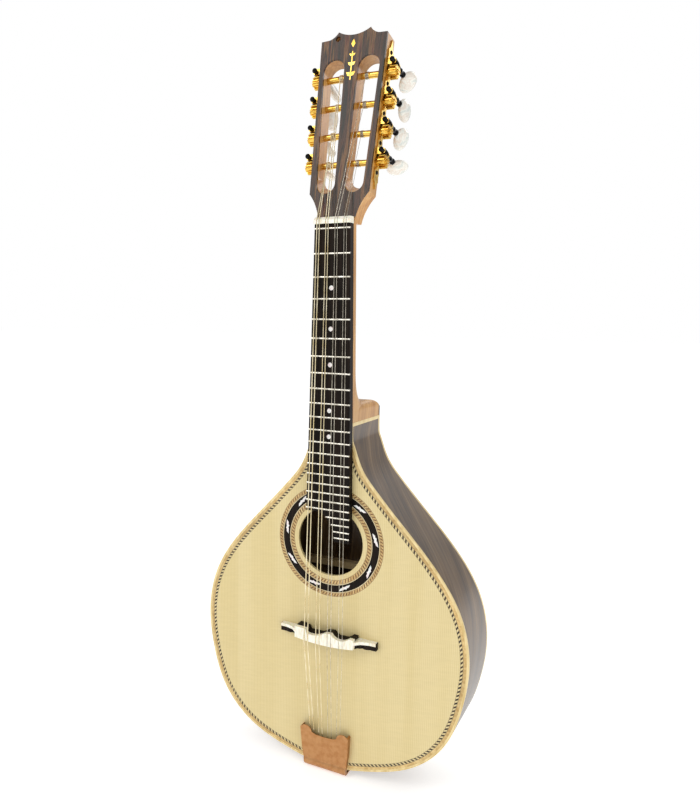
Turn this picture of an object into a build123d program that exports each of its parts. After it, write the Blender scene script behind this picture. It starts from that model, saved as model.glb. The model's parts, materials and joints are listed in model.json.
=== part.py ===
from build123d import *
import math
import os

# A flat-backed, teardrop-bodied instrument with eight strings in four courses, in millimetres.
# It is drawn lying face up: X to the treble side, Y from the bridge up the neck, Z out of the
# soundboard's face. At export it is stood up, soundboard facing -Y and head at +Z, with the
# origin on the flat back, behind the bridge.

# ---- Driving dimensions ----
SCALE_LENGTH = 345.0
BODY_DEPTH = 61.0
FRET_COUNT = 23
COURSE_COUNT = 4

# Body
PLATE_THICKNESS = 2.5
RIB_THICKNESS = 2.0
BINDING_HEIGHT = 3.0
PURFLING_WIDTH = 2.6
INLAY_DEPTH = 1.2
LINING_WIDTH = 5.0
LINING_HEIGHT = 7.5
JOINT_Y = 189.5
STRIP_THICKNESS = 3.0
BODY_END_Y = JOINT_Y - STRIP_THICKNESS
TAIL_Y = -127.3
BLOCK_LENGTH = 15.0
BLOCK_HALF_WIDTH = 24.0
NECK_BLOCK_Y = 150.0
BRACE_WIDTH = 6.0
BRACE_GAP = 0.2

# Half of the body's outline, from the tail round the bass or treble side to the neck
BODY_POINTS = [
    (39.8, -120.8), (78.2, -105.9), (107.8, -76.4), (121.6, -37.3), (125.4, -3.0),
    (116.4, 40.9), (95.9, 73.8), (60.4, 113.0), (39.0, 136.5), (26.6, 154.0), (20.4, 170.0),
]
NECK_HALF_WIDTH_AT_BODY = 18.3
RIM_STEPS = 24

# Soundhole and rosette, as radii about the soundhole's centre
HOLE_Y = 85.3
HOLE_RADIUS = 30.5
ROPE_INNER = (34.5, 38.5)
BLACK_RING = (39.1, 45.4)
ROPE_OUTER = (46.0, 49.4)
LEAF_COUNT = 9
LEAF_RADIUS = 42.25

# Fingerboard
BOARD_THICKNESS = 6.3
BOARD_TOP_Y = 348.5
BOARD_END_Y = 112.3
TONGUE_END_Y = 87.6
BOARD_HALF_AT_NUT = 15.6
BOARD_TAPER = 0.0192
FRET_WIDTH = 1.6
FRET_HEIGHT = 1.0
TANG_WIDTH = 0.6
TANG_DEPTH = 1.5
SHORT_FRET_LEFT = {20: -1.4, 21: 3.8, 22: 6.0, 23: 6.6}
DOT_FRETS = (3, 5, 7, 10, 12)
DOT_RADIUS = 1.9
DOT_DEPTH = 1.0

# Neck and head
NECK_DEPTH = 14.5
HEEL_FRONT_Y = 206.0
HEEL_CAP_THICKNESS = 2.0
HEAD_START_Y = 349.0
HEAD_START_Z = 1.0
HEAD_TILT = 11.23
HEAD_THICKNESS = 15.6
VENEER_THICKNESS = 2.0
SIDE_BOTTOM = (25.8, 25.0)
SIDE_TOP = (28.5, 149.3)
HEAD_PEAK = (13.8, 155.1)
HEAD_VALLEY = 151.2
SLOT_BOTTOM = (12.35, 32.9)
SLOT_BOTTOM_RADIUS = 8.35
SLOT_TOP = (15.15, 124.2)
SLOT_TOP_RADIUS = 9.2
RAMP_RUN = 9.0
HANG_HOLE = (-13.9, 149.6)
HANG_HOLE_RADIUS = 2.2

# Nut, bridge and tailpiece
NUT_Y = 348.6
NUT_LENGTH = 5.2
NUT_TOP = 8.4
BRIDGE_SHIFT = 0.8
SADDLE_TOP = 12.5
SADDLE_BOTTOM = 8.5
SADDLE_EDGE = 5.3
WING_TOP = 4.2
WING_CAP = 1.0
HOOK_Y = -106.0
TAIL_PLATE = 1.2
COVER_SHEET = 0.65

# Strings, bass to treble: diameter, place across the nut, bridge, hooks and tuner rollers
STRING_DIAMETERS = (0.9, 0.9, 0.7, 0.7, 0.45, 0.45, 0.35, 0.35)
NUT_X = (-13.0, -10.8, -5.1, -3.0, 2.9, 5.0, 10.7, 12.8)
BRIDGE_X = (-17.6, -14.2, -6.4, -3.0, 4.7, 8.0, 15.4, 18.9)
HOOK_X = (-14.0, -10.6, -6.0, -2.6, 2.8, 6.2, 10.9, 14.3)
ROLLER_X = (-15.5, -14.0, -12.6, -11.6, 11.0, 11.6, 12.0, 11.0)
NUT_STRING_Z = 7.3

# Tuners: the worm turns the roller's gear one tooth for each turn of its button
TUNERS_PER_SIDE = 4
TUNER_PITCH = 23.5
FIRST_ROLLER = 50.5
GEAR_TEETH = 14
WORM_PITCH = 2.2
ROLLER_DEPTH = 9.3
ROLLER_RADIUS = 2.5
RUNNING_CLEARANCE = 0.08
GEAR_PITCH_RADIUS = GEAR_TEETH * WORM_PITCH / (2 * math.pi)
GEAR_TIP_RADIUS = GEAR_PITCH_RADIUS + 0.45
GEAR_ROOT_RADIUS = GEAR_PITCH_RADIUS - 0.85
GEAR_NEAR = 2.7
GEAR_WIDTH = 5.4
CENTRE_DISTANCE = 7.0
WORM_OUT = 5.6
WORM_ROOT_RADIUS = 1.5
WORM_TIP_RADIUS = 2.6
WORM_TURNS = 3
SHAFT_RADIUS = 1.2
EAR_THICKNESS = 1.0
EAR_OFFSET = 4.2
EAR_RADIUS = 2.4
MACHINE_PLATE = 1.2
KNOB_RADIUS = 2.1
REAR_BALL_DEPTH = 27.0
BUTTON_DEPTH = 29.6
BUTTON_LENGTH = 20.0
BUTTON_THICKNESS = 6.4
BUTTON_SQUASH = 0.45
BUTTON_TURNS = (35, 75, 100, 60, 20, 65, 85, 50)
SCREW_DROP = 8.4


# ---- Frames ----
def standing(shape):
    """The face-up drawing stood up on its tail, soundboard facing -Y."""
    face = Plane(origin=(0, -BODY_DEPTH, 0), x_dir=(1, 0, 0), z_dir=(0, -1, 0))
    return face.location * shape


TILT = math.radians(HEAD_TILT)
HEAD = Plane(
    origin=(0, HEAD_START_Y, HEAD_START_Z),
    x_dir=(1, 0, 0),
    z_dir=(0, math.sin(TILT), math.cos(TILT)),
).location
SIDE_LEAN = math.atan2(SIDE_TOP[0] - SIDE_BOTTOM[0], SIDE_TOP[1] - SIDE_BOTTOM[1])
SIDE = Plane(
    origin=(SIDE_BOTTOM[0] - SIDE_BOTTOM[1] * math.tan(SIDE_LEAN), 0, 0),
    x_dir=(math.cos(SIDE_LEAN), -math.sin(SIDE_LEAN), 0),
    z_dir=(0, 0, 1),
).location


def both_hands(shape):
    """The shape and its mirror image on the bass side."""
    return [mirror(shape, about=Plane.YZ), shape]


def box(low, high):
    """A block between two opposite corners."""
    size = [b - a for a, b in zip(low, high)]
    middle = [(a + b) / 2 for a, b in zip(low, high)]
    return Pos(*middle) * Box(*size)


def slab(sketch, low, high):
    """A flat sketch made solid between two heights."""
    return extrude(Pos(0, 0, low) * sketch, high - low, dir=(0, 0, 1))


def across(profile, left, right):
    """A profile in Y and Z made solid between two places along X."""
    return extrude(Pos(left, 0, 0) * (Plane.YZ * profile), right - left, dir=(1, 0, 0))


def lengthwise(profile, low, high):
    """A profile in X and Z made solid between two places along Y."""
    return extrude(Pos(0, low, 0) * (Plane.XZ * profile), high - low, dir=(0, 1, 0))


def rod(start, end, radius):
    """A round bar between two points."""
    along = Vector(*end) - Vector(*start)
    return Plane(origin=start, z_dir=along).location * Cylinder(
        radius, along.length, align=(Align.CENTER, Align.CENTER, Align.MIN)
    )


def ring(inner, outer):
    """A flat ring about the soundhole's centre."""
    return Pos(0, HOLE_Y) * (Circle(outer) - Circle(inner))


# ---- Body ----
def rim_curve():
    """The treble half of the body's edge, from the tail to the neck."""
    points = [(0, TAIL_Y)] + BODY_POINTS + [(NECK_HALF_WIDTH_AT_BODY, JOINT_Y)]
    return Spline(points, tangents=[(1, 0), (0, 1)])


def inset_rim(inset):
    """The same edge moved in square to itself."""
    curve = rim_curve()
    if not inset:
        return curve
    points = []
    for i in range(RIM_STEPS + 1):
        place = curve @ (i / RIM_STEPS)
        along = curve % (i / RIM_STEPS)
        points.append((place.X - inset * along.Y, place.Y + inset * along.X))
    return Spline(points, tangents=[(1, 0), (0, 1)])


def body_slab(inset, low, high):
    """The body's plan, drawn in by inset, as a slab cut square at its neck end."""
    edge = inset_rim(inset)
    half = NECK_HALF_WIDTH_AT_BODY - inset
    top = Polyline((half, JOINT_Y), (half, JOINT_Y + 9), (-half, JOINT_Y + 9), (-half, JOINT_Y))
    whole = slab(make_face(edge + top + mirror(edge, about=Plane.YZ)), low, high)
    return whole - box((-60, BODY_END_Y, low - 1), (60, JOINT_Y + 30, high + 1))


def rim_slab(outer, inner, low, high):
    """The band between two insets, open at the neck."""
    return body_slab(outer, low, high) - body_slab(inner, low - 1, high + 1)


PURFLING_INSET = RIB_THICKNESS + PURFLING_WIDTH
LINING_INSET = RIB_THICKNESS + LINING_WIDTH
BACK_Z = -BODY_DEPTH
CHAMBER_LOW = BACK_Z + PLATE_THICKNESS
CHAMBER_HIGH = -PLATE_THICKNESS


def rosette_leaf():
    """One pearl leaf, its two tips swept opposite ways."""
    half = [(-6.1, -1.9), (-4.4, 0.1), (-2.2, 0.5), (-1.6, 1.4), (0.4, 0.9), (2.0, 1.5)]
    return Polygon(*half, *[(-x, -y) for x, y in half], align=None)


def rosette_leaves():
    leaves = Sketch()
    for i in range(LEAF_COUNT):
        turn = 90 + i * 360 / LEAF_COUNT
        leaves += Pos(0, HOLE_Y) * Rot(0, 0, turn) * Pos(LEAF_RADIUS, 0) * Rot(0, 0, 90) * rosette_leaf()
    return leaves


def rosette():
    leaves = rosette_leaves()
    black = ring(*BLACK_RING) - leaves
    lines = [ring(ROPE_INNER[1], BLACK_RING[0]), ring(BLACK_RING[1], ROPE_OUTER[0])]
    ropes = [ring(*ROPE_INNER), ring(*ROPE_OUTER)]
    return {
        "rosette_leaves": [slab(leaf, -INLAY_DEPTH, 0) for leaf in leaves.faces()],
        "rosette_black_ring": [slab(black, -INLAY_DEPTH, 0)],
        "rosette_lines": [slab(line, -INLAY_DEPTH, 0) for line in lines],
        "rosette_rope_rings": [slab(rope, -INLAY_DEPTH, 0) for rope in ropes],
    }


def soundboard():
    board = body_slab(RIB_THICKNESS, -PLATE_THICKNESS, 0)
    board -= rim_slab(0, PURFLING_INSET, -INLAY_DEPTH, 1)
    board -= slab(Pos(0, HOLE_Y) * Circle(HOLE_RADIUS), -PLATE_THICKNESS, 0)
    return board - slab(ring(ROPE_INNER[0], ROPE_OUTER[1]), -INLAY_DEPTH, 0)


def tail_screws():
    """Three round-headed screws through the tailpiece plate into the tail block."""
    seat = TAIL_Y - 0.2 - TAIL_PLATE
    screws = []
    for x, z in ((-7, -21), (7, -21), (0, -31)):
        head = Pos(x, seat, z) * Rot(90, 0, 0) * Pos(0, 0, -1.1) * Sphere(2.4)
        head -= box((x - 3, seat, z - 3), (x + 3, seat + 5, z + 3))
        slot = box((x - 3, seat - 3, z - 0.3), (x + 3, seat - 0.8, z + 0.3))
        screws.append(head + rod((x, seat, z), (x, TAIL_Y + 11, z), 1.1) - slot)
    return screws


def body():
    rib = rim_slab(0, RIB_THICKNESS, BACK_Z + BINDING_HEIGHT, -BINDING_HEIGHT)
    tail_area = box((-BLOCK_HALF_WIDTH, TAIL_Y, -100), (BLOCK_HALF_WIDTH, TAIL_Y + BLOCK_LENGTH, 10))
    neck_area = box((-60, NECK_BLOCK_Y, -100), (60, JOINT_Y, 10))
    chamber = body_slab(RIB_THICKNESS, CHAMBER_LOW, CHAMBER_HIGH)
    front_lining = rim_slab(RIB_THICKNESS, LINING_INSET, CHAMBER_HIGH - LINING_HEIGHT, CHAMBER_HIGH)
    back_lining = rim_slab(RIB_THICKNESS, LINING_INSET, CHAMBER_LOW, CHAMBER_LOW + LINING_HEIGHT)
    screws = tail_screws()
    strip = box((-NECK_HALF_WIDTH_AT_BODY, BODY_END_Y, BACK_Z), (NECK_HALF_WIDTH_AT_BODY, JOINT_Y, 0))
    return {
        "soundboard": [soundboard()],
        "back_plate": [body_slab(RIB_THICKNESS, BACK_Z, CHAMBER_LOW)],
        "rib_bass": [rib - [box((0, -200, -100), (200, 300, 10)), *screws]],
        "rib_treble": [rib - [box((-200, -200, -100), (0, 300, 10)), *screws]],
        "front_binding": [rim_slab(0, RIB_THICKNESS, -BINDING_HEIGHT, 0)],
        "back_binding": [rim_slab(0, RIB_THICKNESS, BACK_Z, BACK_Z + BINDING_HEIGHT)],
        "rope_purfling": [rim_slab(RIB_THICKNESS, PURFLING_INSET, -INLAY_DEPTH, 0)],
        "linings": [band - [tail_area, neck_area] for band in (front_lining, back_lining)],
        "tail_block": [(chamber & tail_area) - screws],
        "neck_block": [chamber & neck_area],
        "joint_strip": [strip],
        "tail_screws": screws,
    }


def brace(y, foot, height):
    """A bar glued across a plate, its ends scooped thin. A negative height points down."""
    heights = sorted((foot, foot + height))
    bar = body_slab(LINING_INSET + BRACE_GAP, *heights)
    below = box((-200, -200, -100), (200, y - BRACE_WIDTH / 2, 10))
    above = box((-200, y + BRACE_WIDTH / 2, -100), (200, 300, 10))
    bar -= [below, above]
    end = bar.bounding_box().max.X
    scoop = 16.0
    third = height / 3
    for side in (-1, 1):
        cut = Polygon(
            (side * (end - scoop), height * 1.01),
            (side * (end + 1), height * 1.01),
            (side * (end + 1), third),
            (side * (end - 4), third),
            align=None,
        )
        bar -= Pos(0, 0, foot) * lengthwise(cut, y - BRACE_WIDTH, y + BRACE_WIDTH)
    return bar


def braces():
    front = [brace(y, CHAMBER_HIGH, -9.0) for y in (-42.0, 48.5, 122.0)]
    back = [brace(y, CHAMBER_LOW, 8.0) for y in (-50.0, 47.0, 118.0)]
    return {"soundboard_braces": front, "back_braces": back}


# ---- Fingerboard ----
def fret_y(number):
    """Distance of a fret from the bridge end of the scale; fret 0 is the zero fret."""
    return SCALE_LENGTH * 2 ** (-number / 12)


def board_half(y):
    """Half the fingerboard's width at a place along it."""
    return BOARD_HALF_AT_NUT + (BOARD_TOP_Y - y) * BOARD_TAPER


def fret_left(number):
    """Where a fret starts on the bass side: at the board's edge, or at the tongue's."""
    return SHORT_FRET_LEFT.get(number, -board_half(fret_y(number)))


def fret(number):
    """One fret: a round-topped bead on the board, with its tang in a saw cut."""
    y = fret_y(number)
    left = fret_left(number)
    right = board_half(y)
    bead = (Pos(0, 0.2) * Ellipse(FRET_WIDTH / 2, FRET_HEIGHT - 0.2)) + (
        Pos(0, 0.1) * Rectangle(FRET_WIDTH, 0.2)
    )
    bead &= Pos(0, 1) * Rectangle(FRET_WIDTH + 1, 2)
    tang = Pos(0, -TANG_DEPTH / 2) * Rectangle(TANG_WIDTH, TANG_DEPTH)
    return Pos(0, y, BOARD_THICKNESS) * across(bead + tang, left, right)


def fret_cut(number):
    y = fret_y(number)
    left = fret_left(number)
    return box(
        (left, y - TANG_WIDTH / 2, BOARD_THICKNESS - TANG_DEPTH),
        (board_half(y), y + TANG_WIDTH / 2, BOARD_THICKNESS),
    )


def dot_y(number):
    return (fret_y(number - 1) + fret_y(number)) / 2


def fingerboard():
    """The board: full width to past fret 19, then a tongue under the treble strings alone."""
    half_top = board_half(BOARD_TOP_Y)
    half_end = board_half(BOARD_END_Y)
    half_tongue = board_half(TONGUE_END_Y)
    sides = Polyline(
        (-6.0, BOARD_END_Y),
        (-half_end, BOARD_END_Y),
        (-half_top, BOARD_TOP_Y),
        (half_top, BOARD_TOP_Y),
        (half_tongue, TONGUE_END_Y),
        (6.6, TONGUE_END_Y),
    )
    edge = Spline((6.6, TONGUE_END_Y), (5.6, 95.0), (2.6, 102.6), (-2.6, 109.0), (-6.0, BOARD_END_Y))
    board = slab(make_face(sides + edge), 0, BOARD_THICKNESS)
    dots = []
    for number in DOT_FRETS:
        dot = Pos(0, dot_y(number), BOARD_THICKNESS - DOT_DEPTH / 2) * Cylinder(DOT_RADIUS, DOT_DEPTH)
        dots.append(dot)
        board -= dot
    for number in range(FRET_COUNT + 1):
        board -= fret_cut(number)
    return {
        "fretboard": [board],
        "frets": [fret(number) for number in range(FRET_COUNT + 1)],
        "position_dots": dots,
    }


# ---- Neck and head ----
def neck_section(y, half, depth):
    """A flat-topped, round-backed cross-section of the neck."""
    cheek = depth * 0.3
    back = EllipticalCenterArc((0, -cheek), half, depth - cheek, start_angle=180, arc_size=180)
    top = Polyline((half, -cheek), (half, 0), (-half, 0), (-half, -cheek))
    frame = Plane(origin=(0, y, 0), x_dir=(1, 0, 0), z_dir=(0, -1, 0))
    return frame.location * make_face(back + top)


def heel_plan():
    """The heel seen from the front: square at the body, its far corners rounded."""
    half = NECK_HALF_WIDTH_AT_BODY - 0.2
    plan = Pos(0, (JOINT_Y + HEEL_FRONT_Y) / 2) * Rectangle(2 * half, HEEL_FRONT_Y - JOINT_Y)
    corners = [vertex for vertex in plan.vertices() if vertex.Y > JOINT_Y + 1]
    return fillet(corners, 8.0)


def neck():
    """The neck's shaft, sweeping down into a heel as deep as the body."""
    shaft_ends = ((HEAD_START_Y, 15.5, NECK_DEPTH - 0.4), (232, 17.6, NECK_DEPTH + 1))
    shaft = loft([neck_section(*end) for end in shaft_ends])
    swoop_steps = ((232, 17.6, NECK_DEPTH + 1), (218, 17.8, 19.0), (209, 17.9, 27.0), (203, 18.0, 38.0))
    swoop = loft([neck_section(*step) for step in swoop_steps])
    root = loft([neck_section(JOINT_Y, 18.1, 38.0), neck_section(203, 18.0, 38.0)])
    heel = slab(heel_plan(), BACK_Z + HEEL_CAP_THICKNESS, -1)
    low = BACK_Z - 1
    front = HEEL_FRONT_Y
    profile = make_face(
        Polyline((JOINT_Y, low), (JOINT_Y, 0), (front + 2, 0), (front, -22), (front - 1.5, -46))
        + ThreePointArc((front - 1.5, -46), (front - 4.0, -55), (front - 10, low))
        + Line((front - 10, low), (JOINT_Y, low))
    )
    side = across(profile, -40, 40)
    whole = shaft + swoop + root + (heel & side)
    cap = slab(heel_plan(), BACK_Z, BACK_Z + HEEL_CAP_THICKNESS) & side
    return {"neck": [whole], "heel_cap": [cap]}


def head_plan():
    """The head's face: coved shoulders, leaning sides, and two peaks at the top."""
    half_nut = BOARD_HALF_AT_NUT
    side_x, side_y = SIDE_BOTTOM
    top_x, top_y = SIDE_TOP
    peak_x, peak_y = HEAD_PEAK
    edges = Polyline((-half_nut, 2), (-half_nut, -6), (half_nut, -6), (half_nut, 2))
    edges += ThreePointArc((half_nut, 2), (18.9, 14.2), (side_x, side_y))
    edges += Polyline((side_x, side_y), (top_x, top_y), (21.5, top_y + 0.3))
    edges += ThreePointArc((21.5, top_y + 0.3), (17.3, 151.4), (peak_x, peak_y))
    edges += ThreePointArc((peak_x, peak_y), (0, HEAD_VALLEY), (-peak_x, peak_y))
    edges += ThreePointArc((-peak_x, peak_y), (-17.3, 151.4), (-21.5, top_y + 0.3))
    edges += Polyline((-21.5, top_y + 0.3), (-top_x, top_y), (-side_x, side_y))
    edges += ThreePointArc((-side_x, side_y), (-18.9, 14.2), (-half_nut, 2))
    return make_face(edges)


def tapered_slot(bottom_y):
    """A round-ended slot in the head, a little wider at its top end."""
    low = Pos(SLOT_BOTTOM[0], bottom_y) * Circle(SLOT_BOTTOM_RADIUS)
    high = Pos(*SLOT_TOP) * Circle(SLOT_TOP_RADIUS)
    return make_face(make_hull(low.edges() + high.edges()))


def string_slot():
    """The space of one slot: straight walls, and a ramp at the nut end for the strings."""
    through = slab(tapered_slot(SLOT_BOTTOM[1] + RAMP_RUN - 1.5), -HEAD_THICKNESS - 1, 1)
    x, y = SLOT_BOTTOM
    drop = HEAD_THICKNESS + 1
    run = RAMP_RUN * drop / HEAD_THICKNESS
    ramp_start = (x, y - RAMP_RUN / HEAD_THICKNESS, 1)
    ramp_end = (x, y + run, -drop)
    ramp = loft(
        [
            Pos(*ramp_start) * Circle(SLOT_BOTTOM_RADIUS),
            Pos(*ramp_end) * Circle(SLOT_BOTTOM_RADIUS),
        ]
    )
    neck_end = slab(tapered_slot(SLOT_BOTTOM[1]), -VENEER_THICKNESS, 1)
    return through + ramp + neck_end


def roller_place(number):
    """Distance of a roller's axis up the side plate, counted from the nut."""
    return FIRST_ROLLER + number * TUNER_PITCH


def roller_bores(number):
    """The hole for one roller, across its slot and into the middle rail."""
    y = roller_place(number)
    return SIDE * rod((1, y, -ROLLER_DEPTH), (-23.4, y, -ROLLER_DEPTH), ROLLER_RADIUS + RUNNING_CLEARANCE)


def head_ornament():
    """A slim stem between three pairs of leaves, and a lozenge above them, all inlaid in brass."""
    shape = Sketch() + Pos(0, 126.5) * Rectangle(0.8, 23)
    for y, size in ((118.0, 3.4), (126.5, 2.8), (134.0, 2.2)):
        for side in (-1, 1):
            points = [(0.8, y), (size * 0.8, y + 0.6), (size + 0.4, y + size), (0.8, y + size * 0.9)]
            shape += Polygon(*[(side * px, py) for px, py in points], align=None)
    return shape + Polygon((0, 141.0), (1.7, 144.0), (0, 147.6), (-1.7, 144.0), align=None)


def head():
    plan = head_plan()
    core = HEAD * slab(plan, -HEAD_THICKNESS, -VENEER_THICKNESS)
    veneer = HEAD * slab(plan, -VENEER_THICKNESS, 0)
    nut_end = NUT_Y + NUT_LENGTH
    core &= box((-60, HEAD_START_Y, -80), (60, 600, 20))
    core -= box((-60, 340, 0), (60, nut_end, 20))
    veneer -= box((-60, 340, -20), (60, nut_end, 20))
    openings = [string_slot()] + [roller_bores(number) for number in range(TUNERS_PER_SIDE)]
    cuts = [HEAD * hand for opening in openings for hand in both_hands(opening)]
    core = core - cuts - plate_screws()
    slot = slab(tapered_slot(SLOT_BOTTOM[1]), -VENEER_THICKNESS - 1, 1)
    veneer = veneer - [HEAD * hand for hand in both_hands(slot)]
    hang = HEAD * rod((*HANG_HOLE, 2), (*HANG_HOLE, -HEAD_THICKNESS - 2), HANG_HOLE_RADIUS)
    inlay = HEAD * slab(head_ornament(), -INLAY_DEPTH / 2, 0)
    return {
        "headstock": [core - hang],
        "head_veneer": [veneer - hang - inlay],
        "head_inlay": [inlay],
    }


# ---- Nut, bridge, tailpiece and strings ----
def string_points(i):
    """A string's path: hook, saddle, zero fret, nut, and just above its tuner's roller."""
    radius = STRING_DIAMETERS[i] / 2
    tuner = i if i < TUNERS_PER_SIDE else 2 * TUNERS_PER_SIDE - 1 - i
    above_roller = -ROLLER_DEPTH + ROLLER_RADIUS + 0.35 + radius
    end = (HEAD * Pos(ROLLER_X[i], roller_place(tuner), above_roller)).position
    nut_x = NUT_X[i]
    lean = (BRIDGE_X[i] - nut_x) / SCALE_LENGTH
    nut_y = NUT_Y + NUT_LENGTH * 0.8
    return [
        (HOOK_X[i], HOOK_Y + 1.6, TAIL_PLATE + 1.6),
        (BRIDGE_X[i] + lean * SADDLE_EDGE, -SADDLE_EDGE, SADDLE_TOP),
        (nut_x, SCALE_LENGTH, NUT_STRING_Z + radius),
        (nut_x - lean * (nut_y - SCALE_LENGTH), nut_y, NUT_STRING_Z + radius),
        (end.X, end.Y, end.Z),
    ]


def string_wire(i, clearance=0.0):
    """One string as a bar bent at its bearings, or a fatter one that cuts their grooves."""
    path = Polyline(*string_points(i))
    start = Plane(origin=path @ 0, z_dir=path % 0)
    section = start.location * Circle(STRING_DIAMETERS[i] / 2 + clearance)
    return sweep(section, path=path, transition=Transition.RIGHT)


def strings():
    wires = [string_wire(i) for i in range(2 * COURSE_COUNT)]
    half = len(wires) // 2
    return {"wound_strings": wires[:half], "plain_strings": wires[half:]}


def nut():
    """The nut, its top rounded back, with a groove for each string."""
    half = BOARD_HALF_AT_NUT
    side = Polygon(
        (0, 0), (0, NUT_TOP), (NUT_LENGTH * 0.55, NUT_TOP), (NUT_LENGTH, NUT_TOP - 2.2), (NUT_LENGTH, 0),
        align=None,
    )
    blank = Pos(0, NUT_Y, 0) * across(side, -half, half)
    for i, x in enumerate(NUT_X):
        width = STRING_DIAMETERS[i] / 2 + 0.1
        floor = NUT_STRING_Z + width
        blank -= box((x - width, NUT_Y - 1, floor), (x + width, NUT_Y + NUT_LENGTH + 1, NUT_TOP + 1))
        blank -= string_wire(i, 0.1)
    return {"nut": [blank]}


def saddle_plan():
    """The bone top: bowed along its front, scalloped in two bays along its back."""
    front = Spline((-28.0, -3.0), (0.0, -5.2), (28.0, -3.0))
    back = Polyline((28.0, -3.0), (28.0, 5.6), (24.0, 5.8))
    back += Spline((24.0, 5.8), (16.5, 2.4), (9.0, 4.4))
    back += Polyline((9.0, 4.4), (7.0, 6.8), (1.0, 6.2))
    back += Spline((1.0, 6.2), (-7.0, 2.6), (-16.2, 2.8))
    back += Polyline((-16.2, 2.8), (-17.6, 6.6), (-28.0, 7.0), (-28.0, -3.0))
    return make_face(front + back)


def bridge_side(points, low, high):
    """A profile seen from the tail, made solid from low to high along the strings."""
    return lengthwise(Polygon(*points, align=None), low, high)


def bridge():
    """A loose dark bridge with scrolled wings, and the bone cap that it carries."""
    wing = [(46, 0), (46, WING_TOP), (40, WING_TOP), (38, WING_TOP + 0.9), (35.5, WING_TOP + 0.9)]
    step = [(33.5, WING_TOP), (31.5, WING_TOP + 1.6), (29.5, WING_TOP + 2.0), (28.2, SADDLE_BOTTOM)]
    treble = wing + step
    outline = treble + [(-x, z) for x, z in reversed(treble)]
    base = bridge_side(outline, -3.6, 3.2)
    middle = slab(saddle_plan(), 0, SADDLE_BOTTOM)
    foot_gap = bridge_side([(-24, -1), (-20, 1.6), (20, 1.6), (24, -1)], -10, 10)
    base = base + middle - foot_gap
    cap = slab(saddle_plan(), SADDLE_BOTTOM, SADDLE_TOP)
    wing_height = WING_TOP + WING_CAP
    rail_outer = [(45.6, wing_height), (40, wing_height), (33, wing_height + 2.0), (28.0, SADDLE_TOP - 0.6)]
    rail_inner = [(26, SADDLE_TOP - 0.6), (26, SADDLE_BOTTOM)]
    for side in (-1, 1):
        points = [(side * x, z) for x, z in rail_outer + rail_inner]
        rail = bridge_side(points + [(side * 26, 0), (side * 45.6, 0)], 0.8, 3.4)
        cap += rail
    cap -= base
    solids = sorted(cap.solids(), key=lambda solid: solid.volume)
    shift = Pos(BRIDGE_SHIFT, 0, 0)
    bone = shift * solids[-1]
    for i in range(len(BRIDGE_X)):
        bone -= string_wire(i, 0.1)
    return {"bridge": [shift * base], "saddle": [bone]}


def tail_cover_plan(inset):
    """The cover from the front: two horned corners and a dip between them."""
    half = [
        (0, -96.3), (8.4, -95.8), (12.0, -94.4), (13.0, -91.2), (16.0, -88.8), (20.0, -88.6), (23.6, -91.5),
        (22.6, -112.0), (20.8, -124.0), (20.4, -132.0),
    ]
    plan = Polygon(*half, *[(-x, y) for x, y in reversed(half[1:])], align=None)
    if not inset:
        return plan
    inner = offset(plan, amount=-inset, kind=Kind.INTERSECTION)
    return inner + (plan & Pos(0, -88) * Rectangle(80, 22) & Pos(0, -90) * Rectangle(46 - 2 * inset, 30))


def tail_cover():
    """A folded sheet over the hooks, turned down behind the body's tail."""
    tail = TAIL_Y - 3.2
    inner_tail = tail + COVER_SHEET
    outer = make_face(
        Polyline((-80, 0.15), (-80, 7.2), (-122, 3.8))
        + ThreePointArc((-122, 3.8), (tail + 1.0, 2.6), (tail, -3))
        + Polyline((tail, -3), (tail, -14), (TAIL_Y - 1.7, -14), (TAIL_Y - 1.7, 0.15), (-80, 0.15))
    )
    inner = make_face(
        Polyline((-70, 0), (-70, 7.2 - COVER_SHEET), (-80, 7.2 - COVER_SHEET), (-122, 3.8 - COVER_SHEET))
        + ThreePointArc((-122, 3.8 - COVER_SHEET), (inner_tail + 0.8, 2.2), (inner_tail, -3))
        + Polyline((inner_tail, -3), (inner_tail, -20), (TAIL_Y + 2, -20), (TAIL_Y + 2, 0), (-70, 0))
    )
    body_side = across(outer, -40, 40) & slab(tail_cover_plan(0), -40, 20)
    hollow = across(inner, -40, 40) & slab(tail_cover_plan(COVER_SHEET), -40, 20)
    return body_side - hollow


def tailpiece():
    """An angled plate on the soundboard and down the tail, with a hook for each string."""
    back = TAIL_Y - 0.2
    plate = box((-18, back - TAIL_PLATE, 0), (18, -101, TAIL_PLATE))
    plate += box((-12, back - TAIL_PLATE, -36), (12, back, TAIL_PLATE))
    for x in HOOK_X:
        plate += Pos(x, HOOK_Y, TAIL_PLATE + 1.2) * Cylinder(0.9, 2.4)
    for screw in tail_screws():
        plate -= screw
    return {"tailpiece_plate": [plate], "tailpiece_cover": [tail_cover()]}


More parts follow.
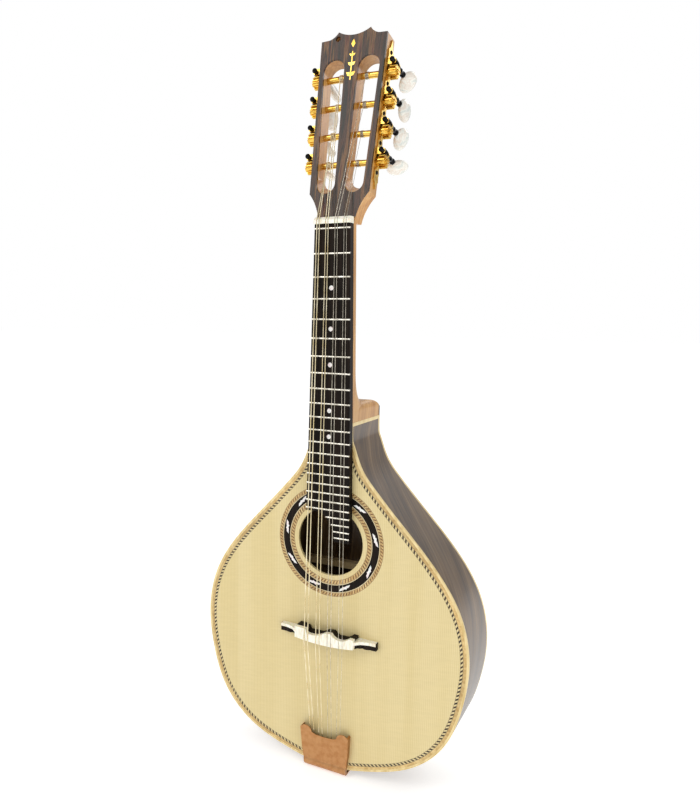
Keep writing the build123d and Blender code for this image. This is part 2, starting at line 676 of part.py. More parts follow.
# ---- Tuners, drawn on the treble side in the side plate's own frame ----
# X points out of the head's side, Y up along it and Z out of the head's face.
def gear(number):
    """The roller with its toothed wheel and the screw that holds the wheel on."""
    y = roller_place(number)
    step = 2 * math.pi / GEAR_TEETH
    wheel = Sketch() + Circle(GEAR_ROOT_RADIUS)
    for tooth in range(GEAR_TEETH):
        angle = math.degrees(step * (tooth + 0.5))
        flank = Polygon(
            (GEAR_ROOT_RADIUS - 0.3, -0.5), (GEAR_TIP_RADIUS, -0.27), (GEAR_TIP_RADIUS, 0.27),
            (GEAR_ROOT_RADIUS - 0.3, 0.5), align=None,
        )
        wheel += Rot(0, 0, angle) * flank
    # The tooth gap at the top of the wheel faces the worm
    toothed = across(wheel, GEAR_NEAR, GEAR_NEAR + GEAR_WIDTH)
    outer = GEAR_NEAR + GEAR_WIDTH
    roller = rod((-22.9, 0, 0), (GEAR_NEAR + 0.5, 0, 0), ROLLER_RADIUS)
    eyelet = rod((-14.5, 0, -5), (-14.5, 0, 5), 0.55)
    washer = rod((outer, 0, 0), (outer + 0.6, 0, 0), 3.4)
    head = rod((outer + 0.6, 0, 0), (outer + 1.8, 0, 0), 2.3)
    head -= box((outer + 1.2, -0.35, -3), (outer + 3, 0.35, 3))
    place = Pos(0, y, -ROLLER_DEPTH)
    return [place * (roller + toothed - eyelet), place * (washer + head)]


def worm_thread():
    """A single-start thread, right-handed, with a crest at the wheel side."""
    length = WORM_TURNS * WORM_PITCH
    path = Helix(WORM_PITCH, length, (WORM_ROOT_RADIUS + WORM_TIP_RADIUS) / 2)
    depth = WORM_TIP_RADIUS - WORM_ROOT_RADIUS + 0.3
    section = Polygon((-depth / 2, -0.5), (depth / 2, -0.24), (depth / 2, 0.24), (-depth / 2, 0.5), align=None)
    start = Plane(origin=path @ 0, x_dir=(1, 0, 0), z_dir=path % 0)
    return sweep(start.location * section, path=path, is_frenet=True)


def worm(number):
    """The worm's shaft: front knob, threads, and turned stem down to the rear ball."""
    base = rod((0, 0, -EAR_OFFSET - 0.1), (0, 0, EAR_OFFSET + 0.1), WORM_ROOT_RADIUS)
    front = EAR_OFFSET + EAR_THICKNESS
    core = rod((0, 0, -front - 0.3), (0, 0, front + 0.3), SHAFT_RADIUS)
    core += base & box((-5, -5, -EAR_OFFSET + 0.15), (5, 5, EAR_OFFSET - 0.15))
    half = WORM_TURNS * WORM_PITCH / 2
    # A crest faces the wheel's tooth gap when the thread starts a quarter turn off
    core += Pos(0, 0, -half) * Rot(0, 0, -90 + 180 * WORM_TURNS) * worm_thread()
    knob_z = front + 0.3 + KNOB_RADIUS - 0.5
    core += Pos(0, 0, knob_z) * Sphere(KNOB_RADIUS)
    rear = -front - 0.3
    ball_z = ROLLER_DEPTH - REAR_BALL_DEPTH
    core += rod((0, 0, rear), (0, 0, rear - 1.6), 2.1)
    core += rod((0, 0, rear - 1.6), (0, 0, ball_z), 1.45)
    core += Pos(0, 0, (rear + ball_z) / 2) * Torus(1.4, 0.75)
    core += Pos(0, 0, ball_z) * Sphere(2.5)
    core += rod((0, 0, ball_z), (0, 0, ball_z - 4.2), 1.3)
    return Pos(WORM_OUT, roller_place(number) + CENTRE_DISTANCE, -ROLLER_DEPTH) * core


def button(number, turn):
    """A flattened oval pearl button on the end of a worm's stem."""
    edge = Spline((2.6, 0), (6.6, -3.6), (8.8, -10.6), (6.6, -17.4), (0, -BUTTON_LENGTH))
    half = make_face(edge + Polyline((0, -BUTTON_LENGTH), (0, 0), (2.6, 0)))
    turned = revolve(Plane.XZ * half, Axis.Z, 360)
    blank = scale(turned, by=(1, BUTTON_SQUASH, 1))
    blank &= box((-20, -BUTTON_THICKNESS / 2, -30), (20, BUTTON_THICKNESS / 2, 1))
    socket = rod((0, 0, 1), (0, 0, -3.0), 1.3)
    place = Pos(WORM_OUT, roller_place(number) + CENTRE_DISTANCE, -BUTTON_DEPTH)
    return place * Rot(0, 0, turn) * (blank - socket)


def machine_plate():
    """The long side plate, lobed at each roller, with two ears for each worm."""
    first = roller_place(0)
    last = roller_place(TUNERS_PER_SIDE - 1)
    plan = Pos((first + last) / 2, 0) * Rectangle(last - first + 20, 7.6)
    for number in range(TUNERS_PER_SIDE):
        y = roller_place(number)
        plan += Pos(y, 0) * Circle(5.9)
        plan += Pos(y + CENTRE_DISTANCE, 0) * Circle(5.9)
        plan += Pos(y - SCREW_DROP, 0) * Circle(4.4)
    low = first - 10
    high = last + 17
    low_tip = [(low, 3.8), (low - 5, 4.6), (low - 7, 1.6)]
    high_tip = [(high - 6, 4.0), (high, 5.0), (high + 2, 2.0)]
    for half, point in ((low_tip, low - 11.5), (high_tip, high + 9)):
        plan += Polygon(*half, (point, 0), *[(x, -y) for x, y in reversed(half)], align=None)
    flat = across(plan, 0, MACHINE_PLATE)
    for number in range(TUNERS_PER_SIDE):
        y = roller_place(number)
        worm_y = y + CENTRE_DISTANCE
        for low_z in (EAR_OFFSET, -EAR_OFFSET - EAR_THICKNESS):
            high_z = low_z + EAR_THICKNESS
            ear = box((0.5, worm_y - EAR_RADIUS, low_z), (WORM_OUT, worm_y + EAR_RADIUS, high_z))
            ear += rod((WORM_OUT, worm_y, low_z), (WORM_OUT, worm_y, high_z), EAR_RADIUS)
            flat += ear
        flat -= rod((WORM_OUT, worm_y, -8), (WORM_OUT, worm_y, 8), SHAFT_RADIUS + RUNNING_CLEARANCE)
        flat -= rod((-1, y, 0), (3, y, 0), ROLLER_RADIUS + RUNNING_CLEARANCE)
    return Pos(0, 0, -ROLLER_DEPTH) * flat


def plate_screw(y):
    """A small black screw with a domed, slotted head."""
    top = MACHINE_PLATE + 1.0
    outline = Polyline((top, 0), (-2.6, 0), (-2.6, 0.9), (MACHINE_PLATE, 0.9), (MACHINE_PLATE, 1.75))
    outline += ThreePointArc((MACHINE_PLATE, 1.75), (MACHINE_PLATE + 0.75, 1.05), (top, 0))
    screw = revolve(make_face(outline), Axis.X, 360)
    screw -= box((top - 0.4, -0.2, -3), (top + 1, 0.2, 3))
    return Pos(0, y, -ROLLER_DEPTH) * screw


def plate_screw_places():
    below = [roller_place(number) - SCREW_DROP for number in range(TUNERS_PER_SIDE)]
    return below + [roller_place(TUNERS_PER_SIDE - 1) + CENTRE_DISTANCE + 9.0]


def plate_screws():
    screws = [SIDE * plate_screw(y) for y in plate_screw_places()]
    return [HEAD * hand for screw in screws for hand in both_hands(screw)]


def tuners():
    """Both sides' machines. Each tuner gives a roller, a worm and a button."""
    nodes = {}
    for number in range(TUNERS_PER_SIDE):
        roller = [SIDE * solid for solid in gear(number)]
        shaft = SIDE * worm(number)
        for side, name in ((0, "bass"), (1, "treble")):
            label = f"{name}_{number + 1}"
            knob = SIDE * button(number, BUTTON_TURNS[4 * side + number])
            nodes[f"roller_{label}"] = [HEAD * both_hands(solid)[side] for solid in roller]
            nodes[f"worm_{label}"] = [HEAD * both_hands(shaft)[side]]
            nodes[f"button_{label}"] = [HEAD * both_hands(knob)[side]]
    screws = [SIDE * plate_screw(y) for y in plate_screw_places()]
    bass_plate, treble_plate = both_hands(SIDE * machine_plate() - screws)
    nodes["tuner_plate_bass"] = [HEAD * bass_plate]
    nodes["tuner_plate_treble"] = [HEAD * treble_plate]
    nodes["plate_screws"] = plate_screws()
    return nodes


# ---- Assembly ----
nodes = {}
for section in (body, rosette, braces, fingerboard, neck, head, nut, bridge, tailpiece, strings, tuners):
    nodes.update(section())

os.makedirs("parts", exist_ok=True)
for name, shapes in nodes.items():
    solids = [solid for shape in shapes for solid in shape.solids()]
    shape = solids[0] if len(solids) == 1 else Compound(children=solids)
    export_step(standing(shape), f"parts/{name}.step")
print(len(nodes), "nodes")
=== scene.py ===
import json
import math

import bpy
from mathutils import Matrix, Vector


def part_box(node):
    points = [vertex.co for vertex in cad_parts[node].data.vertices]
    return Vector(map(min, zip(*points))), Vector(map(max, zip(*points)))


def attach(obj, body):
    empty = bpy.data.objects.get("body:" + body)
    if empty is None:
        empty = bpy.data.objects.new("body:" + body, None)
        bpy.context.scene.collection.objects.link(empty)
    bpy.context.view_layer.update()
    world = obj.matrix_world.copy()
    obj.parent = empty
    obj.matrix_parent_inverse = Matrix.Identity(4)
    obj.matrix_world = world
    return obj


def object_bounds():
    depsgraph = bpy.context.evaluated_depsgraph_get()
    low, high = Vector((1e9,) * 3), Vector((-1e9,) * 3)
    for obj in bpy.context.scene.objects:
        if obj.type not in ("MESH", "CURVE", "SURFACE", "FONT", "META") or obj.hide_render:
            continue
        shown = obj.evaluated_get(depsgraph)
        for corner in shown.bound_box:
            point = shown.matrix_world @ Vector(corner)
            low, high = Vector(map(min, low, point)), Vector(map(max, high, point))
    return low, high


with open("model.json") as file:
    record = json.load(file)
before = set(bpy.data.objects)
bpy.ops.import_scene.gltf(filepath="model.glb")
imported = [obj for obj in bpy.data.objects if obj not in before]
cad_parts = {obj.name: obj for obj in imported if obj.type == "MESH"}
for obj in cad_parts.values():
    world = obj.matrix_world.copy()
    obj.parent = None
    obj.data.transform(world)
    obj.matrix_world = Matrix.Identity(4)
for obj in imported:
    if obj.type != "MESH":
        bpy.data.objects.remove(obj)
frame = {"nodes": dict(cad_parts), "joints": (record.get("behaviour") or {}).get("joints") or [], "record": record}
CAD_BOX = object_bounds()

# Looks for a flat-backed, teardrop-bodied instrument with eight strings. Metres, in the CAD's
# frame: Z up the neck, -Y out of the soundboard, +X to the treble side.

MM = 0.001
BODY = "instrument"
FACE_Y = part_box("soundboard")[0].y
LOW, HIGH = CAD_BOX
SHARP_ANGLE = math.radians(32)


# ---- Material building blocks ----
def srgb(red, green, blue):
    """A colour given as 0 to 255, in Blender's linear values."""
    channels = []
    for level in (red, green, blue):
        level /= 255
        channels.append(level / 12.92 if level < 0.04 else ((level + 0.055) / 1.055) ** 2.4)
    return (*channels, 1.0)


class Look:
    """A material being built: a Principled shader, and nodes that feed it."""

    def __init__(self, name, **fixed):
        self.material = bpy.data.materials.new(name)
        self.material.use_nodes = True
        self.tree = self.material.node_tree
        self.shader = self.tree.nodes["Principled BSDF"]
        self.place = self.tree.nodes.new("ShaderNodeTexCoord").outputs["Object"]
        for socket, value in fixed.items():
            self.shader.inputs[socket.replace("_", " ")].default_value = value

    def node(self, kind, inputs, **settings):
        node = self.tree.nodes.new("ShaderNode" + kind)
        for key, value in settings.items():
            setattr(node, key, value)
        for key, value in inputs.items():
            if isinstance(value, bpy.types.NodeSocket):
                self.tree.links.new(value, node.inputs[key])
            else:
                node.inputs[key].default_value = value
        return node

    def mapped(self, scale, turn=(0, 0, 0)):
        """Object coordinates turned, then stretched. A large scale makes fine detail."""
        turned = self.node("Mapping", {"Vector": self.place, "Rotation": [math.radians(a) for a in turn]})
        return self.node("Mapping", {"Vector": turned.outputs[0], "Scale": scale}).outputs[0]

    def noise(self, scale, turn=(0, 0, 0), detail=4.0, distortion=0.0):
        inputs = {
            "Vector": self.mapped(scale, turn), "Scale": 1.0, "Detail": detail, "Distortion": distortion,
        }
        return self.node("TexNoise", inputs).outputs["Fac"]

    def bands(self, scale, stretch, turn=(0, 0, 0), wobble=2.0):
        """Parallel lines across X, wandering a little along their length."""
        inputs = {
            "Vector": self.mapped(stretch, turn),
            "Scale": scale,
            "Distortion": wobble,
            "Detail": 2.0,
            "Detail Scale": 0.12,
        }
        return self.node("TexWave", inputs, wave_profile="SAW").outputs["Fac"]

    def ramp(self, factor, *stops):
        node = self.node("ValToRGB", {"Fac": factor})
        elements = node.color_ramp.elements
        while len(elements) < len(stops):
            elements.new(0.5)
        for element, (position, colour) in zip(elements, stops):
            element.position = position
            element.color = colour
        return node.outputs["Color"]

    def mix(self, factor, first, second, blend="MIX"):
        inputs = {"Factor": factor, 6: first, 7: second}
        return self.node("Mix", inputs, data_type="RGBA", blend_type=blend).outputs[2]

    def grey(self, factor, low, high):
        """A level between low and high, spread over the middle of a noise."""
        inputs = {"Value": factor, "From Min": 0.3, "From Max": 0.7, "To Min": low, "To Max": high}
        return self.node("MapRange", inputs).outputs[0]

    def colour(self, output):
        self.tree.links.new(output, self.shader.inputs["Base Color"])

    def roughness(self, output):
        self.tree.links.new(output, self.shader.inputs["Roughness"])

    def bump(self, height, distance, strength=0.4):
        inputs = {"Height": height, "Distance": distance, "Strength": strength}
        self.tree.links.new(self.node("Bump", inputs).outputs[0], self.shader.inputs["Normal"])


# ---- Woods ----
def wood(name, tones, grain, turn=(0, 0, 0), gloss=(0.28, 0.42), coat=0.1, relief=0.00004, specular=0.4,
         bookmatched=False):
    """Lacquered wood: fine fibres and broad streaks in three tones, with shallow pores."""
    look = Look(name, Coat_Weight=coat, Coat_Roughness=0.12, Specular_IOR_Level=specular)
    if bookmatched:
        look.place = look.node("VectorMath", {0: look.place}, operation="ABSOLUTE").outputs[0]
    fine = look.noise(grain, turn, detail=6.0)
    broad = look.noise([g * 0.13 for g in grain], turn, detail=3.0, distortion=0.6)
    blotch = look.noise((14, 14, 14), detail=2.0)
    dark, middle, light = tones
    streaks = look.ramp(broad, (0.34, dark), (0.5, middle), (0.66, light))
    fibres = look.ramp(fine, (0.36, dark), (0.5, middle), (0.64, light))
    both = look.mix(0.5, streaks, fibres)
    shade = look.ramp(blotch, (0.3, (0.82, 0.82, 0.82, 1)), (0.7, (1.12, 1.1, 1.08, 1)))
    look.colour(look.mix(1.0, both, shade, "MULTIPLY"))
    look.roughness(look.grey(fine, *gloss))
    look.bump(fine, relief)
    return look.material


def spruce(name, pale, line, deep, coat):
    """Quarter-sawn spruce: close, near-straight growth lines with silk across them."""
    look = Look(name, Coat_Weight=coat, Coat_Roughness=0.1, Specular_IOR_Level=0.4)
    growth = look.bands(190, (1, 1, 0.06), wobble=5.0)
    spread = look.noise((60, 60, 3), detail=3.0)
    fibre = look.noise((1500, 1500, 60), detail=3.0)
    silk = look.noise((90, 90, 700), (0, 8, 0), detail=2.0)
    lines = look.ramp(growth, (0.0, pale), (0.62, pale), (0.93, line), (1.0, pale))
    warm = look.ramp(spread, (0.35, deep), (0.6, pale))
    ground = look.mix(0.55, lines, warm)
    flecks = look.ramp(silk, (0.35, (0.975, 0.975, 0.97, 1)), (0.65, (1.01, 1.01, 1.01, 1)))
    look.colour(look.mix(1.0, ground, flecks, "MULTIPLY"))
    look.roughness(look.grey(fibre, 0.3, 0.44))
    look.bump(fibre, 0.00003, 0.3)
    return look.material


def laminated_binding():
    """The binding's one solid: pale as deep as the photo's band, and dark like the rib below it."""
    pale_depth, blend = 1.7 * MM, 0.05 * MM
    look = Look("laminated_binding", Coat_Weight=0.15, Coat_Roughness=0.12, Specular_IOR_Level=0.4)
    fibre = look.noise((240, 900, 40), detail=5.0)
    streak = look.noise((30, 500, 30), (24, 0, 12), detail=4.0)
    maple = look.ramp(fibre, (0.36, srgb(212, 184, 120)), (0.64, srgb(238, 216, 160)))
    dark = look.ramp(streak, (0.36, srgb(46, 31, 18)), (0.64, srgb(108, 84, 56)))
    depth = look.node("SeparateXYZ", {0: look.place}).outputs["Y"]
    edge = FACE_Y + pale_depth
    inputs = {"Value": depth, "From Min": edge - blend, "From Max": edge + blend}
    layer = look.node("MapRange", inputs).outputs[0]
    look.colour(look.mix(layer, maple, dark))
    look.roughness(look.grey(fibre, 0.28, 0.42))
    look.bump(fibre, 0.00003)
    return look.material


def striped_veneer():
    """Dark rosewood with red-brown stripes along the head."""
    look = Look("striped_veneer", Coat_Weight=0.08, Coat_Roughness=0.08, Specular_IOR_Level=0.25)
    stripe = look.noise((210, 60, 5), detail=4.0, distortion=0.3)
    pore = look.noise((2600, 900, 60), detail=3.0)
    stops = (
        (0.34, srgb(40, 34, 25)), (0.43, srgb(80, 52, 36)), (0.49, srgb(38, 29, 20)),
        (0.56, srgb(120, 86, 50)), (0.62, srgb(88, 46, 32)), (0.7, srgb(34, 28, 20)),
    )
    base = look.ramp(stripe, *stops)
    pores = look.ramp(pore, (0.38, (0.55, 0.5, 0.5, 1)), (0.5, (1, 1, 1, 1)))
    look.colour(look.mix(1.0, base, pores, "MULTIPLY"))
    look.roughness(look.grey(pore, 0.22, 0.36))
    look.bump(pore, 0.00003)
    return look.material


# ---- Metals ----
def metal(name, tones, rough, scratch, relief=0.00002):
    """Metal with brushed scratches, and slight tarnish in patches spread at random."""
    look = Look(name, Metallic=1.0)
    marks = look.noise(scratch, detail=5.0)
    tarnish = look.noise((220, 220, 220), detail=3.0)
    bright, dull = tones
    look.colour(look.ramp(tarnish, (0.35, dull), (0.6, bright)))
    look.roughness(look.grey(marks, *rough))
    look.bump(marks, relief, 0.3)
    return look.material


def wound_wire():
    """Bronze wire wound round a core: fine turns along the string."""
    look = Look("string_bronze", Metallic=1.0)
    turns = look.bands(1100, (0.0, 0.0, 1.0), (0, 90, 0), wobble=0.0)
    tone = look.noise((40, 40, 90), detail=2.0)
    look.colour(look.ramp(tone, (0.35, srgb(214, 196, 150)), (0.65, srgb(246, 236, 206))))
    look.roughness(look.grey(tone, 0.22, 0.36))
    look.bump(turns, 0.00005, 0.6)
    return look.material


# ---- Pearl, bone and celluloid ----
def pearl(name, tones, clouds, rough):
    """Nacre: drifting clouds of pink, green and white under a hard gloss."""
    look = Look(name, Coat_Weight=0.5, Coat_Roughness=0.05, IOR=1.55, Sheen_Weight=0.1)
    cloud = look.noise(clouds, detail=4.0, distortion=1.2)
    grain = look.noise([c * 6 for c in clouds], detail=3.0)
    white, cool, warm = tones
    look.colour(look.ramp(cloud, (0.34, cool), (0.46, white), (0.56, warm), (0.68, white)))
    look.roughness(look.grey(grain, *rough))
    look.bump(cloud, 0.00003, 0.25)
    return look.material


def bone():
    """Pale bone with faint streaks, slightly translucent."""
    look = Look("bone", Subsurface_Weight=0.08, Subsurface_Scale=0.001, IOR=1.54)
    streak = look.noise((900, 900, 150), detail=4.0)
    cloud = look.noise((120, 120, 120), detail=2.0)
    tint = look.ramp(streak, (0.36, srgb(240, 231, 204)), (0.55, srgb(254, 251, 238)))
    shade = look.ramp(cloud, (0.3, (0.94, 0.93, 0.9, 1)), (0.7, (1, 1, 1, 1)))
    look.colour(look.mix(1.0, tint, shade, "MULTIPLY"))
    look.roughness(look.grey(cloud, 0.28, 0.42))
    look.bump(streak, 0.00002, 0.3)
    return look.material


def make_looks():
    """Every material, by the record's slot name or by the name that dress_cad or inlays uses."""
    ebony_tones = (srgb(12, 9, 7), srgb(24, 18, 14), srgb(46, 34, 26))
    rosewood_tones = (srgb(46, 31, 18), srgb(88, 66, 42), srgb(128, 104, 74))
    rosewood_finish = {"gloss": (0.3, 0.44), "coat": 0.3, "relief": 0.00006}
    rib_grain, back_grain = (24, 560, 24), (330, 330, 9)
    return {
        "spruce": spruce("spruce", srgb(224, 206, 154), srgb(196, 170, 108), srgb(216, 196, 138), 0.12),
        "inner_spruce": spruce(
            "inner_spruce", srgb(226, 200, 150), srgb(196, 164, 108), srgb(208, 178, 124), 0.0,
        ),
        "rosewood": wood("rosewood", rosewood_tones, rib_grain, (24, 0, 12), **rosewood_finish),
        "rosewood_back": wood(
            "rosewood_back", rosewood_tones, back_grain, (0, 5, 0), bookmatched=True, **rosewood_finish,
        ),
        "maple_binding": wood(
            "maple_binding", (srgb(214, 184, 118), srgb(232, 208, 148), srgb(242, 222, 170)), (240, 900, 40),
        ),
        "rope_inlay": wood(
            "rope_inlay", (srgb(178, 142, 84), srgb(206, 174, 112), srgb(226, 200, 142)), (500, 500, 500),
        ),
        "dark_inlay": wood(
            "dark_inlay", (srgb(30, 20, 12), srgb(54, 38, 24), srgb(84, 60, 36)), (600, 600, 600),
        ),
        "brown_inlay": wood(
            "brown_inlay", (srgb(96, 66, 36), srgb(128, 92, 54), srgb(152, 112, 70)), (600, 600, 600),
        ),
        "maple_line": wood(
            "maple_line", (srgb(212, 190, 140), srgb(230, 212, 166), srgb(240, 226, 186)), (500, 500, 500),
        ),
        "ebony": wood("ebony", ebony_tones, (1500, 900, 36), gloss=(0.4, 0.56), coat=0.0, specular=0.1),
        "neck_wood": wood(
            "neck_wood", (srgb(162, 106, 50), srgb(194, 142, 78), srgb(214, 170, 108)),
            (420, 420, 12), (11, 0, 0),
            coat=0.15,
        ),
        "laminated_binding": laminated_binding(),
        "striped_veneer": striped_veneer(),
        "gold_brass": metal(
            "gold_brass", (srgb(238, 200, 100), srgb(198, 152, 60)), (0.14, 0.3), (500, 500, 60),
        ),
        "nickel": metal("nickel", (srgb(236, 232, 220), srgb(186, 180, 166)), (0.16, 0.32), (60, 900, 900)),
        "copper": metal(
            "copper", (srgb(190, 143, 98), srgb(178, 128, 84)), (0.36, 0.5), (1200, 300, 18), relief=0.00004,
        ),
        "string_bronze": wound_wire(),
        "string_steel": metal(
            "string_steel", (srgb(222, 214, 196), srgb(176, 168, 150)), (0.2, 0.34), (900, 900, 9),
        ),
        "black_steel": metal(
            "black_steel", (srgb(38, 37, 38), srgb(14, 14, 15)), (0.16, 0.34), (700, 700, 700),
        ),
        "bone": bone(),
        "pearl": pearl(
            "pearl", (srgb(246, 246, 240), srgb(206, 222, 220), srgb(236, 214, 216)),
            (330, 330, 330), (0.1, 0.2),
        ),
        "pearl_button": pearl(
            "pearl_button", (srgb(240, 238, 228), srgb(208, 214, 208), srgb(226, 214, 200)), (110, 110, 160),
            (0.1, 0.22),
        ),
    }


def dress_cad(looks):
    """Each CAD node gets its slot's material, or a special one, and smooth shading between sharp edges."""
    special = {"back_plate": "rosewood_back", "front_binding": "laminated_binding"}
    for part in frame["record"]["subparts"]:
        node = frame["nodes"][part["node"]]
        node.data.materials.clear()
        name = special.get(part["node"], part["material_slot"])
        node.data.materials.append(looks[name])
        node.data.polygons.foreach_set("use_smooth", [True] * len(node.data.polygons))
        node.data.set_sharp_from_angle(angle=SHARP_ANGLE)


# ---- Inlaid dashes and lines ----
def soundhole_centre():
    low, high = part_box("rosette_black_ring")
    return (low + high) / 2


def circle_line(radius):
    """A circle about the soundhole, as place(s) giving a point and its outward direction."""
    centre = soundhole_centre()

    def place(s):
        outward = Vector((math.sin(s / radius), 0, math.cos(s / radius)))
        return Vector((centre.x, FACE_Y, centre.z)) + outward * radius, outward

    return place, 2 * math.pi * radius


def soundboard_edge():
    """The soundboard's own edge, inside the purfling, from the treble to the bass end of its neck."""
    hole = soundhole_centre()
    past_rosette = 56 * MM
    on_face, apart = 0.05 * MM, 0.5 * MM
    turn_about_z = 20 * MM
    rim = []
    for vertex in frame["nodes"]["soundboard"].data.vertices:
        point = vertex.co
        distance = math.hypot(point.x - hole.x, point.z - hole.z)
        if abs(point.y - FACE_Y) < on_face and distance > past_rosette:
            rim.append(Vector((point.x, FACE_Y, point.z)))
    rim.sort(key=lambda p: math.atan2(p.x, p.z - turn_about_z) % (2 * math.pi))
    line = [rim[0]]
    for point in rim[1:]:
        if (point - line[-1]).length > apart:
            line.append(point)
    return line


def polyline_line(points):
    """A walk along a polyline, as place(s) giving a point and its outward direction."""
    smoothing = 4 * MM
    lengths = [0.0]
    for a, b in zip(points, points[1:]):
        lengths.append(lengths[-1] + (b - a).length)

    def at(s):
        s = max(0.0, min(s, lengths[-1]))
        i = 1
        while i < len(lengths) - 1 and lengths[i] < s:
            i += 1
        return points[i - 1].lerp(points[i], (s - lengths[i - 1]) / (lengths[i] - lengths[i - 1]))

    def place(s):
        along = (at(s + smoothing) - at(s - smoothing)).normalized()
        return at(s), Vector((along.z, 0, -along.x))

    return place, lengths[-1]


def add_inlay(name, vertices, faces, material):
    mesh = bpy.data.meshes.new(name)
    mesh.from_pydata(vertices, [], faces)
    mesh.materials.append(material)
    piece = bpy.data.objects.new(name, mesh)
    bpy.context.scene.collection.objects.link(piece)
    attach(piece, BODY)


def slivers(name, line, ranges, near, far, slant, material):
    """Thin inlaid tiles standing a hair proud of the face, one for each range along the line."""
    place, length = line
    proud = 0.03 * MM
    sunk = 0.3 * MM
    vertices = []
    faces = []
    for start, end in ranges:
        corners = [(start, near), (end, near), (end + slant, far), (start + slant, far)]
        first = len(vertices)
        for depth in (-proud, sunk):
            for s, reach in corners:
                point, outward = place(s)
                vertices.append(point + outward * reach + Vector((0, depth, 0)))
        quads = [(0, 1, 2, 3), (7, 6, 5, 4), (0, 4, 5, 1), (1, 5, 6, 2), (2, 6, 7, 3), (3, 7, 4, 0)]
        faces += [tuple(first + i for i in quad) for quad in quads]
    add_inlay(name, vertices, faces, material)


def dashes(length, pitch, width):
    """Ranges of one width, at the spacing nearest to pitch that fits the length evenly."""
    count = round(length / pitch)
    return [(i * length / count, i * length / count + width) for i in range(count)]


def ribbon(name, line, near, far, material):
    """A continuous inlaid line, as short tiles that meet."""
    length = line[1]
    step = 2.5 * MM
    count = round(length / step)
    ranges = [(i * length / count, (i + 1) * length / count) for i in range(count)]
    slivers(name, line, ranges, near, far, 0.0, material)


def inlays(looks):
    """The rope pattern round the body's edge, and round the rosette's two rings."""
    dark, brown = looks["dark_inlay"], looks["brown_inlay"]
    edge = polyline_line(soundboard_edge())
    marks = dashes(edge[1], 3.7 * MM, 1.9 * MM)
    slivers("purfling_dashes", edge, marks, 0.35 * MM, 2.3 * MM, 1.7 * MM, dark)
    ribbon("purfling_line_inner", edge, 0.0, 0.25 * MM, dark)
    ribbon("purfling_line_outer", edge, 2.4 * MM, 2.6 * MM, dark)
    for name, inner, outer in (("inner", 34.5, 38.5), ("outer", 46.0, 49.4)):
        ring = circle_line(inner * MM)
        width = (outer - inner) * MM
        inset, edge_width = 0.6 * MM, 0.35 * MM
        marks = dashes(ring[1], 2.7 * MM, 1.2 * MM)
        slivers(f"rosette_dashes_{name}", ring, marks, inset, width - inset, 1.4 * MM, brown)
        ribbon(f"rosette_edge_{name}_a", ring, 0.0, edge_width, brown)
        ribbon(f"rosette_edge_{name}_b", ring, width - edge_width, width, brown)


# ---- String windings ----
def winding(name, joint, reach, radius, turns, material):
    """A string's turns round its roller. They ride on the roller."""
    roller_radius, gap = 2.5 * MM, 0.06 * MM
    axis = Vector(joint["axis"]).normalized()
    centre = Vector(joint["pos_m"]) + axis * reach
    first = axis.orthogonal().normalized()
    second = axis.cross(first)
    steps = 24
    pitch = 2 * radius + gap
    curve = bpy.data.curves.new(name, "CURVE")
    curve.dimensions = "3D"
    curve.bevel_depth = radius
    curve.bevel_resolution = 3
    curve.use_fill_caps = True
    spline = curve.splines.new("POLY")
    count = turns * steps
    spline.points.add(count)
    for i in range(count + 1):
        angle = 2 * math.pi * i / steps
        offset = axis * (pitch * (i / steps - turns / 2))
        out = first * math.cos(angle) + second * math.sin(angle)
        spline.points[i].co = (*(centre + offset + out * (roller_radius + radius)), 1)
    curve.materials.append(material)
    piece = bpy.data.objects.new(name, curve)
    bpy.context.scene.collection.objects.link(piece)
    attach(piece, joint["child"])


def windings(looks):
    """Four turns of wound string or six of plain on each roller, where its string comes down to it."""
    joints = {joint["name"]: joint for joint in frame["joints"]}
    # Each side's slot and turns, then its strings' distances from the middle and radii, in mm.
    sides = {
        "bass": ("string_bronze", 4, (15.5, 14.0, 12.6, 11.6), (0.45, 0.45, 0.35, 0.35)),
        "treble": ("string_steel", 6, (11.0, 12.0, 11.6, 11.0), (0.18, 0.18, 0.23, 0.23)),
    }
    for side, (slot, turns, places, radii) in sides.items():
        for i, (place, radius) in enumerate(zip(places, radii)):
            joint = joints[f"spool_{side}_{i + 1}_turn"]
            reach = place * MM - abs(joint["pos_m"][0])
            winding(f"winding_{side}_{i + 1}", joint, reach, radius * MM, turns, looks[slot])


# ---- Stage ----
def floor():
    """A pale floor just under the tail, glowing enough to hide its horizon against the world."""
    half, gap = 12.0, 0.5 * MM
    level = LOW.z - gap
    mesh = bpy.data.meshes.new("floor")
    corners = [(-half, -half, level), (half, -half, level), (half, half, level), (-half, half, level)]
    mesh.from_pydata(corners, [], [(0, 1, 2, 3)])
    look = Look("floor_paint", Roughness=0.9, Emission_Color=(1, 1, 1, 1), Emission_Strength=0.46)
    look.colour(look.ramp(look.noise((3, 3, 3)), (0.3, srgb(246, 246, 245)), (0.7, srgb(252, 252, 251))))
    mesh.materials.append(look.material)
    piece = bpy.data.objects.new("floor", mesh)
    bpy.context.scene.collection.objects.link(piece)


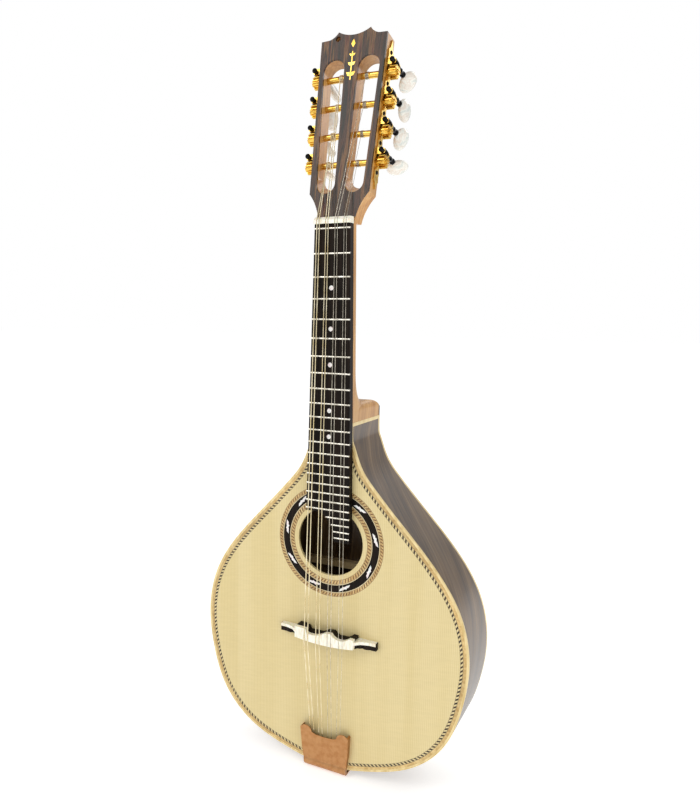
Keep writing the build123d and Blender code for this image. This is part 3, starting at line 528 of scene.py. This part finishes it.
def studio():
    """A white world, brighter to the camera than to the object, and three soft lights."""
    to_object, to_camera = 0.6, 1.0
    world = bpy.data.worlds.new("studio")
    world.use_nodes = True
    links = world.node_tree.links
    background = world.node_tree.nodes["Background"]
    background.inputs["Color"].default_value = (1.0, 1.0, 1.0, 1)
    rays = world.node_tree.nodes.new("ShaderNodeLightPath")
    strength = world.node_tree.nodes.new("ShaderNodeMapRange")
    strength.inputs["To Min"].default_value = to_object
    strength.inputs["To Max"].default_value = to_camera
    links.new(rays.outputs["Is Camera Ray"], strength.inputs["Value"])
    links.new(strength.outputs[0], background.inputs["Strength"])
    bpy.context.scene.world = world
    bpy.context.scene.view_settings.view_transform = "Standard"

    middle = (LOW + HIGH) / 2
    lamps = (
        ("key", (-0.9, -1.6, 1.5), 1.1, 12.0),
        ("fill", (1.5, -1.2, 0.7), 1.3, 4.0),
        ("back", (0.6, 1.5, 1.4), 1.2, 8.0),
    )
    for name, place, size, power in lamps:
        light = bpy.data.lights.new(name, "AREA")
        light.size = size
        light.energy = power
        lamp = bpy.data.objects.new(name, light)
        lamp.location = place
        lamp.rotation_euler = (middle - Vector(place)).to_track_quat("-Z", "Y").to_euler()
        bpy.context.scene.collection.objects.link(lamp)


def photo_camera():
    """The photograph's camera, fitted to the frets, body outline, rosette, head and tuners in it."""
    camera_data = bpy.data.cameras.new("photo_camera")
    camera_data.lens = 32.97
    camera_data.shift_x = 0.0592
    camera_data.shift_y = 0.0556
    camera_data.clip_start = 0.01
    camera = bpy.data.objects.new("photo_camera", camera_data)
    place = (0.25713, -0.61059, 0.27874)
    right, up, back = (0.88696, 0.46173, 0.01069), (-0.09094, 0.15191, 0.98420), (0.45281, -0.87392, 0.17673)
    turn = Matrix((right, up, back)).transposed()
    camera.matrix_world = Matrix.Translation(place) @ turn.to_4x4()
    bpy.context.scene.collection.objects.link(camera)
    bpy.context.scene.camera = camera


looks = make_looks()
dress_cad(looks)
inlays(looks)
windings(looks)
floor()
studio()
photo_camera()
